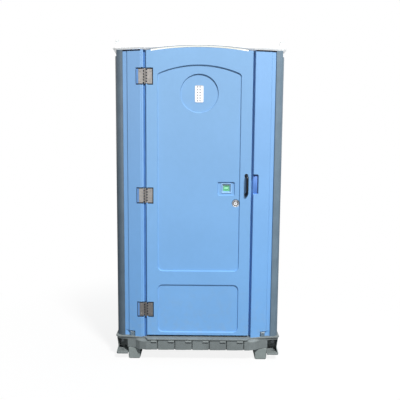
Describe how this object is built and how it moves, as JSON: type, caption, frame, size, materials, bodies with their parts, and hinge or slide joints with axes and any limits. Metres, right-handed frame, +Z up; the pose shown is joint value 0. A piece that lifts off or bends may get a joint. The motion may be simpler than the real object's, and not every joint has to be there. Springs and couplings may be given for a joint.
{
  "type": "portable toilet cabin",
  "caption": "Portable toilet cabin on two skids, with a hinged door, sliding latch and flag, key lock, tank with seat and lid, urinal, paper roll and vent pipe under an arched roof.",
  "frame": {"origin": "on the ground under the middle of the cabin's bounding box", "axes": "+X to the right of someone facing the door, +Y from the door to the rear wall, +Z up"},
  "size_m": [1.22, 1.22, 2.394],
  "materials": {
    "door_blue": "satin, lightly grained",
    "roof_white": "satin, translucent white",
    "base_grey": "matte, moulded",
    "skid_grey": "matte, moulded",
    "post_grey": "satin",
    "wall_blue": "satin",
    "floor_grey": "textured",
    "steel": "brushed",
    "zinc_steel": "zinc plated",
    "handle_black": "satin",
    "flag_green": "gloss, green half and red half",
    "latch_black": "satin",
    "tank_dark": "satin",
    "seat_grey": "gloss",
    "pipe_grey": "satin",
    "urinal_white": "gloss",
    "hose_grey": "matte",
    "paper_white": "matte"
  },
  "bodies": {
    "cabin": {"base": "base_grey", "tie_brackets": "base_grey", "skid_left": "skid_grey", "skid_right": "skid_grey", "jamb_clips": "skid_grey", "bracket_bolts": "zinc_steel", "strike_plate": "zinc_steel", "floor_panel": "floor_grey", "threshold": "floor_grey", "hinge_jamb": "wall_blue", "strike_jamb": "wall_blue", "header": "wall_blue", "side_panel_left": "wall_blue", "side_panel_right": "wall_blue", "rear_panel": "wall_blue", "post_front_left": "post_grey", "post_front_right": "post_grey", "post_rear_left": "post_grey", "post_rear_right": "post_grey", "roof": "roof_white", "vent_grilles": "roof_white", "jamb_hinge_rivets": "steel", "seat_hinge_rod": "steel", "hinge_bottom_jamb_leaf": "steel", "hinge_bottom_pin": "steel", "hinge_middle_jamb_leaf": "steel", "hinge_middle_pin": "steel", "hinge_top_jamb_leaf": "steel", "hinge_top_pin": "steel", "tank": "tank_dark", "tank_top": "tank_dark", "vent_pipe": "pipe_grey", "vent_cap": "pipe_grey", "urinal": "urinal_white", "urinal_hose": "hose_grey", "paper_holder": "seat_grey", "paper_spindle": "seat_grey"},
    "door": {"hinge_bottom_door_leaf": "steel", "hinge_middle_door_leaf": "steel", "hinge_top_door_leaf": "steel", "door_outer_skin": "door_blue", "door_inner_skin": "door_blue", "door_hinge_rivets": "steel", "lock_barrel": "steel", "lock_nut": "steel", "handle": "handle_black", "handle_screws": "zinc_steel", "latch_screws": "zinc_steel", "latch_case": "latch_black", "coat_hook": "latch_black"},
    "latch": {"latch_bolt": "latch_black", "indicator_flag": "flag_green"},
    "key": {"lock_plug": "steel", "lock_cam": "steel"},
    "seat": {"seat": "seat_grey"},
    "lid": {"lid": "seat_grey"},
    "roll": {"paper_roll": "paper_white"}
  },
  "joints": [
    {"name": "door_swing", "type": "hinge", "parent": "cabin", "child": "door", "pos_m": [-0.379, -0.5649, 1.221], "axis": [0, 0, -1], "range_deg": [0, 110]},
    {"name": "latch_slide", "type": "slide", "parent": "door", "child": "latch", "axis": [1, 0, 0], "range_m": [0, 0.045]},
    {"name": "key_turn", "type": "hinge", "parent": "door", "child": "key", "pos_m": [0.265, -0.545, 1.169], "axis": [0, -1, 0], "range_deg": [0, 90]},
    {"name": "seat_swing", "type": "hinge", "parent": "cabin", "child": "seat", "pos_m": [0, 0.52, 0.641], "axis": [-1, 0, 0], "range_deg": [0, 88]},
    {"name": "lid_swing", "type": "hinge", "parent": "cabin", "child": "lid", "pos_m": [0, 0.52, 0.641], "axis": [-1, 0, 0], "range_deg": [-93, 0]},
    {"name": "roll_spin", "type": "hinge", "parent": "cabin", "child": "roll", "pos_m": [-0.494, 0.01, 0.88], "axis": [0, 1, 0], "continuous": true}
  ]
}
